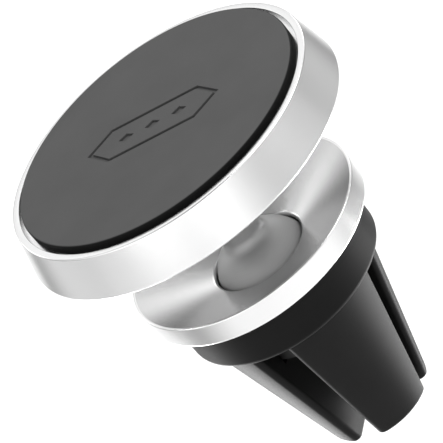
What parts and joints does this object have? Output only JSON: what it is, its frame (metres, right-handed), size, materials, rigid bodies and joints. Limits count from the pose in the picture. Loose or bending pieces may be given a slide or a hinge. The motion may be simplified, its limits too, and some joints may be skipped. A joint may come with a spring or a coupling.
{
  "type": "phone mount",
  "caption": "Magnetic phone mount: round padded head on a ball joint, dished lock nut, and a split-prong clip that grips an air-vent louvre.",
  "frame": {"origin": "centre of the prong tips' plane, on the mount's axis", "axes": "+Z along the mount's axis from the prong tips to the phone pad; the wide louvre slot lies on the plane x = 0 and the narrow one on y = 0"},
  "size_m": [0.04, 0.04, 0.046],
  "materials": {
    "pad_rubber": "matte, very fine grain",
    "adhesive_foam": "matte foam tape",
    "ring_aluminium": "bead-blasted satin anodised",
    "tray_nylon": "moulded",
    "backplate_steel": "rolled sheet",
    "cover_plastic": "silver-grey, fine moulded grain",
    "stud_steel": "satin plated",
    "fastener_steel": "zinc plated",
    "seat_nylon": "natural nylon",
    "core_nylon": "moulded glass-filled nylon",
    "nut_aluminium": "fine turned, satin anodised",
    "magnet_nickel": "nickel plated",
    "collar_rubber": "smooth satin silicone",
    "prong_rubber": "smooth satin silicone"
  },
  "bodies": {
    "clip": {"clip_hub": "core_nylon", "socket_core": "core_nylon", "boot_collar": "collar_rubber"},
    "seat": {"ball_seat": "seat_nylon"},
    "stud": {"ball_stud": "stud_steel", "stud_screw": "fastener_steel", "spring_washer": "fastener_steel"},
    "head": {"head_ring": "ring_aluminium", "face_pad": "pad_rubber", "pad_adhesive": "adhesive_foam", "magnet_tray": "tray_nylon", "steel_backplate": "backplate_steel", "back_cover": "cover_plastic", "magnet_1": "magnet_nickel", "magnet_2": "magnet_nickel", "magnet_3": "magnet_nickel", "magnet_4": "magnet_nickel", "magnet_5": "magnet_nickel", "magnet_6": "magnet_nickel"},
    "nut_slider": {"friction_ring": "seat_nylon"},
    "nut": {"lock_nut": "nut_aluminium"},
    "prong_1": {"prong_sleeve_1": "prong_rubber", "prong_core_1": "core_nylon"},
    "prong_2": {"prong_sleeve_2": "prong_rubber", "prong_core_2": "core_nylon"},
    "prong_3": {"prong_sleeve_3": "prong_rubber", "prong_core_3": "core_nylon"},
    "prong_4": {"prong_sleeve_4": "prong_rubber", "prong_core_4": "core_nylon"}
  },
  "joints": [
    {"name": "seat_swivel", "type": "hinge", "parent": "clip", "child": "seat", "pos_m": [0, 0, 0.0227], "axis": [0, 0, 1], "continuous": true},
    {"name": "ball_tilt", "type": "hinge", "parent": "seat", "child": "stud", "pos_m": [0, 0, 0.0227], "axis": [1, 0, 0], "range_deg": [-35, 35]},
    {"name": "head_spin", "type": "hinge", "parent": "stud", "child": "head", "pos_m": [0, 0, 0.0401], "axis": [0, 0, 1], "continuous": true},
    {"name": "nut_travel", "type": "slide", "parent": "clip", "child": "nut_slider", "axis": [0, 0, 1], "range_m": [0, 0.001]},
    {"name": "nut_turn", "type": "hinge", "parent": "nut_slider", "child": "nut", "pos_m": [0, 0, 0.026], "axis": [0, 0, 1], "range_deg": [0, 360]},
    {"name": "prong_1_flex", "type": "hinge", "parent": "clip", "child": "prong_1", "pos_m": [0.00636, 0.00636, 0.021], "axis": [0.7071, -0.7071, 0], "range_deg": [-1.5, 6], "stiffness_Nm_per_rad": 0.8},
    {"name": "prong_2_flex", "type": "hinge", "parent": "clip", "child": "prong_2", "pos_m": [-0.00636, 0.00636, 0.021], "axis": [0.7071, 0.7071, 0], "range_deg": [-1.5, 6], "stiffness_Nm_per_rad": 0.8},
    {"name": "prong_3_flex", "type": "hinge", "parent": "clip", "child": "prong_3", "pos_m": [-0.00636, -0.00636, 0.021], "axis": [-0.7071, 0.7071, 0], "range_deg": [-1.5, 6], "stiffness_Nm_per_rad": 0.8},
    {"name": "prong_4_flex", "type": "hinge", "parent": "clip", "child": "prong_4", "pos_m": [0.00636, -0.00636, 0.021], "axis": [-0.7071, -0.7071, 0], "range_deg": [-1.5, 6], "stiffness_Nm_per_rad": 0.8}
  ],
  "couplings": [
    {"joint": "nut_turn", "follows": "nut_travel", "rad_per_m": 6283.2}
  ]
}
